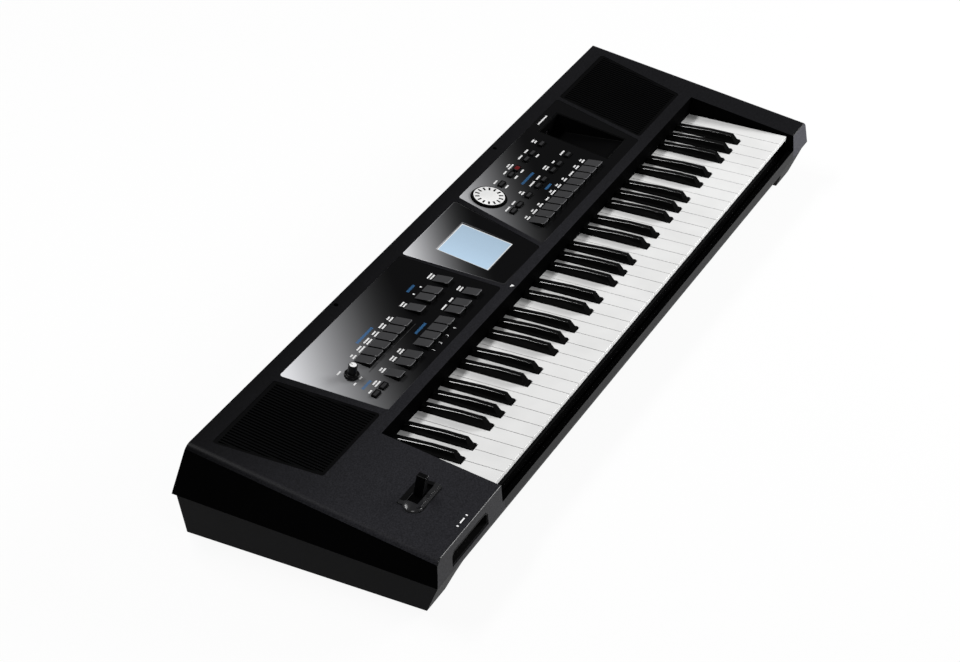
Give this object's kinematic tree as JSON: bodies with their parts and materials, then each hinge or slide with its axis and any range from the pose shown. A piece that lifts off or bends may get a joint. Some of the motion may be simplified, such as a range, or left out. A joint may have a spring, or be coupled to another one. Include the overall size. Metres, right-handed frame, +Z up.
{
  "type": "arranger keyboard",
  "caption": "Portable arranger keyboard: sloping dark case with a row of piano keys, control panels, screen, dial, bender lever and two speaker grilles.",
  "frame": {"origin": "under the middle of the case, on the surface that the feet stand on", "axes": "+X to the treble end, +Y to the back, away from the player, +Z up"},
  "size_m": [1.045, 0.3192, 0.13],
  "materials": {
    "case": "fine satin moulding, near black",
    "lower_case": "fine matt moulding, near black",
    "panel_gloss": "polished black",
    "grille": "satin black",
    "speaker": "black basket",
    "screen": "backlit pale blue face in a dark frame",
    "circuit_board": "green laminate",
    "zinc": "plated metal can",
    "bezel": "satin black",
    "steel": "bright steel",
    "chassis": "dark grey moulding",
    "felt": "pressed felt",
    "rubber": "matt rubber",
    "socket": "black",
    "knob": "satin black with a pale pointer",
    "dial": "pale face with dark marks",
    "wedge_button": "dark grey satin",
    "small_button": "dark grey satin",
    "white_key": "polished white",
    "black_key": "polished black"
  },
  "bodies": {
    "case": {"upper_case": "case", "lower_case": "lower_case", "left_control_panel": "panel_gloss", "display_panel": "panel_gloss", "right_control_panel": "panel_gloss", "left_speaker_grille": "grille", "right_speaker_grille": "grille", "speakers": "speaker", "display_module": "screen", "panel_boards": "circuit_board", "volume_potentiometer": "zinc", "dial_encoder": "zinc", "stick_pocket": "panel_gloss", "stick_socket": "zinc", "bender_bezel": "bezel", "bender_axle": "steel", "key_chassis": "chassis", "key_pivot_rod": "steel", "key_stop_felt": "felt", "key_contact_board": "circuit_board", "main_board": "circuit_board", "case_screws": "steel", "rubber_feet": "rubber", "headphone_sockets": "socket", "rear_sockets": "socket"},
    "bender_lever": {"bender_lever": "bezel"},
    "volume_knob": {"volume_knob": "knob"},
    "data_dial": {"data_dial": "dial"},
    "memory_buttons": {"memory_buttons": "wedge_button"},
    "utility_buttons": {"utility_buttons": "wedge_button"},
    "transport_buttons": {"transport_buttons": "wedge_button"},
    "variation_buttons": {"variation_buttons": "wedge_button"},
    "tone_buttons": {"tone_buttons": "wedge_button"},
    "tempo_buttons": {"tempo_buttons": "small_button"},
    "upper_function_buttons": {"upper_function_buttons": "small_button"},
    "lower_function_buttons": {"lower_function_buttons": "small_button"},
    "c_keys_odd_octaves": {"c_keys_odd_octaves": "white_key"},
    "c_keys_even_octaves": {"c_keys_even_octaves": "white_key"},
    "c_sharp_keys_odd_octaves": {"c_sharp_keys_odd_octaves": "black_key"},
    "c_sharp_keys_even_octaves": {"c_sharp_keys_even_octaves": "black_key"},
    "d_keys_odd_octaves": {"d_keys_odd_octaves": "white_key"},
    "d_keys_even_octaves": {"d_keys_even_octaves": "white_key"},
    "d_sharp_keys_odd_octaves": {"d_sharp_keys_odd_octaves": "black_key"},
    "d_sharp_keys_even_octaves": {"d_sharp_keys_even_octaves": "black_key"},
    "e_keys_odd_octaves": {"e_keys_odd_octaves": "white_key"},
    "e_keys_even_octaves": {"e_keys_even_octaves": "white_key"},
    "f_keys_odd_octaves": {"f_keys_odd_octaves": "white_key"},
    "f_keys_even_octaves": {"f_keys_even_octaves": "white_key"},
    "f_sharp_keys_odd_octaves": {"f_sharp_keys_odd_octaves": "black_key"},
    "f_sharp_keys_even_octaves": {"f_sharp_keys_even_octaves": "black_key"},
    "g_keys_odd_octaves": {"g_keys_odd_octaves": "white_key"},
    "g_keys_even_octaves": {"g_keys_even_octaves": "white_key"},
    "g_sharp_keys_odd_octaves": {"g_sharp_keys_odd_octaves": "black_key"},
    "g_sharp_keys_even_octaves": {"g_sharp_keys_even_octaves": "black_key"},
    "a_keys_odd_octaves": {"a_keys_odd_octaves": "white_key"},
    "a_keys_even_octaves": {"a_keys_even_octaves": "white_key"},
    "a_sharp_keys_odd_octaves": {"a_sharp_keys_odd_octaves": "black_key"},
    "a_sharp_keys_even_octaves": {"a_sharp_keys_even_octaves": "black_key"},
    "b_keys_odd_octaves": {"b_keys_odd_octaves": "white_key"},
    "b_keys_even_octaves": {"b_keys_even_octaves": "white_key"}
  },
  "joints": [
    {"name": "bender_swing", "type": "hinge", "parent": "case", "child": "bender_lever", "pos_m": [-0.43702, -0.09081, 0.06841], "axis": [0, 0.9882, 0.153], "range_deg": [-25, 25], "stiffness_Nm_per_rad": 0.4},
    {"name": "volume_turn", "type": "hinge", "parent": "case", "child": "volume_knob", "pos_m": [-0.30577, 0.05929, 0.1129], "axis": [0, -0.153, 0.9882], "range_deg": [-150, 150]},
    {"name": "dial_turn", "type": "hinge", "parent": "case", "child": "data_dial", "pos_m": [0.10063, 0.09401, 0.11827], "axis": [0, -0.153, 0.9882], "continuous": true},
    {"name": "memory_press", "type": "slide", "parent": "case", "child": "memory_buttons", "axis": [0, 0.153, -0.9882], "range_m": [0, 0.001], "stiffness_N_per_m": 900, "springref_m": -0.001},
    {"name": "utility_press", "type": "slide", "parent": "case", "child": "utility_buttons", "axis": [0, 0.153, -0.9882], "range_m": [0, 0.001], "stiffness_N_per_m": 900, "springref_m": -0.001},
    {"name": "transport_press", "type": "slide", "parent": "case", "child": "transport_buttons", "axis": [0, 0.153, -0.9882], "range_m": [0, 0.001], "stiffness_N_per_m": 900, "springref_m": -0.001},
    {"name": "variation_press", "type": "slide", "parent": "case", "child": "variation_buttons", "axis": [0, 0.153, -0.9882], "range_m": [0, 0.001], "stiffness_N_per_m": 900, "springref_m": -0.001},
    {"name": "tone_press", "type": "slide", "parent": "case", "child": "tone_buttons", "axis": [0, 0.153, -0.9882], "range_m": [0, 0.001], "stiffness_N_per_m": 900, "springref_m": -0.001},
    {"name": "tempo_press", "type": "slide", "parent": "case", "child": "tempo_buttons", "axis": [0, 0.153, -0.9882], "range_m": [0, 0.001], "stiffness_N_per_m": 900, "springref_m": -0.001},
    {"name": "upper_function_press", "type": "slide", "parent": "case", "child": "upper_function_buttons", "axis": [0, 0.153, -0.9882], "range_m": [0, 0.001], "stiffness_N_per_m": 900, "springref_m": -0.001},
    {"name": "lower_function_press", "type": "slide", "parent": "case", "child": "lower_function_buttons", "axis": [0, 0.153, -0.9882], "range_m": [0, 0.001], "stiffness_N_per_m": 900, "springref_m": -0.001},
    {"name": "c_press_odd_octaves", "type": "hinge", "parent": "case", "child": "c_keys_odd_octaves", "pos_m": [0, 0.0403, 0.0687], "axis": [1, 0, 0], "range_deg": [0, 3], "stiffness_Nm_per_rad": 2, "springref_deg": -5.73},
    {"name": "c_press_even_octaves", "type": "hinge", "parent": "case", "child": "c_keys_even_octaves", "pos_m": [0, 0.0403, 0.0687], "axis": [1, 0, 0], "range_deg": [0, 3], "stiffness_Nm_per_rad": 2, "springref_deg": -5.73},
    {"name": "c_sharp_press_odd_octaves", "type": "hinge", "parent": "case", "child": "c_sharp_keys_odd_octaves", "pos_m": [0, 0.0403, 0.0687], "axis": [1, 0, 0], "range_deg": [0, 3], "stiffness_Nm_per_rad": 2, "springref_deg": -5.73},
    {"name": "c_sharp_press_even_octaves", "type": "hinge", "parent": "case", "child": "c_sharp_keys_even_octaves", "pos_m": [0, 0.0403, 0.0687], "axis": [1, 0, 0], "range_deg": [0, 3], "stiffness_Nm_per_rad": 2, "springref_deg": -5.73},
    {"name": "d_press_odd_octaves", "type": "hinge", "parent": "case", "child": "d_keys_odd_octaves", "pos_m": [0, 0.0403, 0.0687], "axis": [1, 0, 0], "range_deg": [0, 3], "stiffness_Nm_per_rad": 2, "springref_deg": -5.73},
    {"name": "d_press_even_octaves", "type": "hinge", "parent": "case", "child": "d_keys_even_octaves", "pos_m": [0, 0.0403, 0.0687], "axis": [1, 0, 0], "range_deg": [0, 3], "stiffness_Nm_per_rad": 2, "springref_deg": -5.73},
    {"name": "d_sharp_press_odd_octaves", "type": "hinge", "parent": "case", "child": "d_sharp_keys_odd_octaves", "pos_m": [0, 0.0403, 0.0687], "axis": [1, 0, 0], "range_deg": [0, 3], "stiffness_Nm_per_rad": 2, "springref_deg": -5.73},
    {"name": "d_sharp_press_even_octaves", "type": "hinge", "parent": "case", "child": "d_sharp_keys_even_octaves", "pos_m": [0, 0.0403, 0.0687], "axis": [1, 0, 0], "range_deg": [0, 3], "stiffness_Nm_per_rad": 2, "springref_deg": -5.73},
    {"name": "e_press_odd_octaves", "type": "hinge", "parent": "case", "child": "e_keys_odd_octaves", "pos_m": [0, 0.0403, 0.0687], "axis": [1, 0, 0], "range_deg": [0, 3], "stiffness_Nm_per_rad": 2, "springref_deg": -5.73},
    {"name": "e_press_even_octaves", "type": "hinge", "parent": "case", "child": "e_keys_even_octaves", "pos_m": [0, 0.0403, 0.0687], "axis": [1, 0, 0], "range_deg": [0, 3], "stiffness_Nm_per_rad": 2, "springref_deg": -5.73},
    {"name": "f_press_odd_octaves", "type": "hinge", "parent": "case", "child": "f_keys_odd_octaves", "pos_m": [0, 0.0403, 0.0687], "axis": [1, 0, 0], "range_deg": [0, 3], "stiffness_Nm_per_rad": 2, "springref_deg": -5.73},
    {"name": "f_press_even_octaves", "type": "hinge", "parent": "case", "child": "f_keys_even_octaves", "pos_m": [0, 0.0403, 0.0687], "axis": [1, 0, 0], "range_deg": [0, 3], "stiffness_Nm_per_rad": 2, "springref_deg": -5.73},
    {"name": "f_sharp_press_odd_octaves", "type": "hinge", "parent": "case", "child": "f_sharp_keys_odd_octaves", "pos_m": [0, 0.0403, 0.0687], "axis": [1, 0, 0], "range_deg": [0, 3], "stiffness_Nm_per_rad": 2, "springref_deg": -5.73},
    {"name": "f_sharp_press_even_octaves", "type": "hinge", "parent": "case", "child": "f_sharp_keys_even_octaves", "pos_m": [0, 0.0403, 0.0687], "axis": [1, 0, 0], "range_deg": [0, 3], "stiffness_Nm_per_rad": 2, "springref_deg": -5.73},
    {"name": "g_press_odd_octaves", "type": "hinge", "parent": "case", "child": "g_keys_odd_octaves", "pos_m": [0, 0.0403, 0.0687], "axis": [1, 0, 0], "range_deg": [0, 3], "stiffness_Nm_per_rad": 2, "springref_deg": -5.73},
    {"name": "g_press_even_octaves", "type": "hinge", "parent": "case", "child": "g_keys_even_octaves", "pos_m": [0, 0.0403, 0.0687], "axis": [1, 0, 0], "range_deg": [0, 3], "stiffness_Nm_per_rad": 2, "springref_deg": -5.73},
    {"name": "g_sharp_press_odd_octaves", "type": "hinge", "parent": "case", "child": "g_sharp_keys_odd_octaves", "pos_m": [0, 0.0403, 0.0687], "axis": [1, 0, 0], "range_deg": [0, 3], "stiffness_Nm_per_rad": 2, "springref_deg": -5.73},
    {"name": "g_sharp_press_even_octaves", "type": "hinge", "parent": "case", "child": "g_sharp_keys_even_octaves", "pos_m": [0, 0.0403, 0.0687], "axis": [1, 0, 0], "range_deg": [0, 3], "stiffness_Nm_per_rad": 2, "springref_deg": -5.73},
    {"name": "a_press_odd_octaves", "type": "hinge", "parent": "case", "child": "a_keys_odd_octaves", "pos_m": [0, 0.0403, 0.0687], "axis": [1, 0, 0], "range_deg": [0, 3], "stiffness_Nm_per_rad": 2, "springref_deg": -5.73},
    {"name": "a_press_even_octaves", "type": "hinge", "parent": "case", "child": "a_keys_even_octaves", "pos_m": [0, 0.0403, 0.0687], "axis": [1, 0, 0], "range_deg": [0, 3], "stiffness_Nm_per_rad": 2, "springref_deg": -5.73},
    {"name": "a_sharp_press_odd_octaves", "type": "hinge", "parent": "case", "child": "a_sharp_keys_odd_octaves", "pos_m": [0, 0.0403, 0.0687], "axis": [1, 0, 0], "range_deg": [0, 3], "stiffness_Nm_per_rad": 2, "springref_deg": -5.73},
    {"name": "a_sharp_press_even_octaves", "type": "hinge", "parent": "case", "child": "a_sharp_keys_even_octaves", "pos_m": [0, 0.0403, 0.0687], "axis": [1, 0, 0], "range_deg": [0, 3], "stiffness_Nm_per_rad": 2, "springref_deg": -5.73},
    {"name": "b_press_odd_octaves", "type": "hinge", "parent": "case", "child": "b_keys_odd_octaves", "pos_m": [0, 0.0403, 0.0687], "axis": [1, 0, 0], "range_deg": [0, 3], "stiffness_Nm_per_rad": 2, "springref_deg": -5.73},
    {"name": "b_press_even_octaves", "type": "hinge", "parent": "case", "child": "b_keys_even_octaves", "pos_m": [0, 0.0403, 0.0687], "axis": [1, 0, 0], "range_deg": [0, 3], "stiffness_Nm_per_rad": 2, "springref_deg": -5.73}
  ]
}
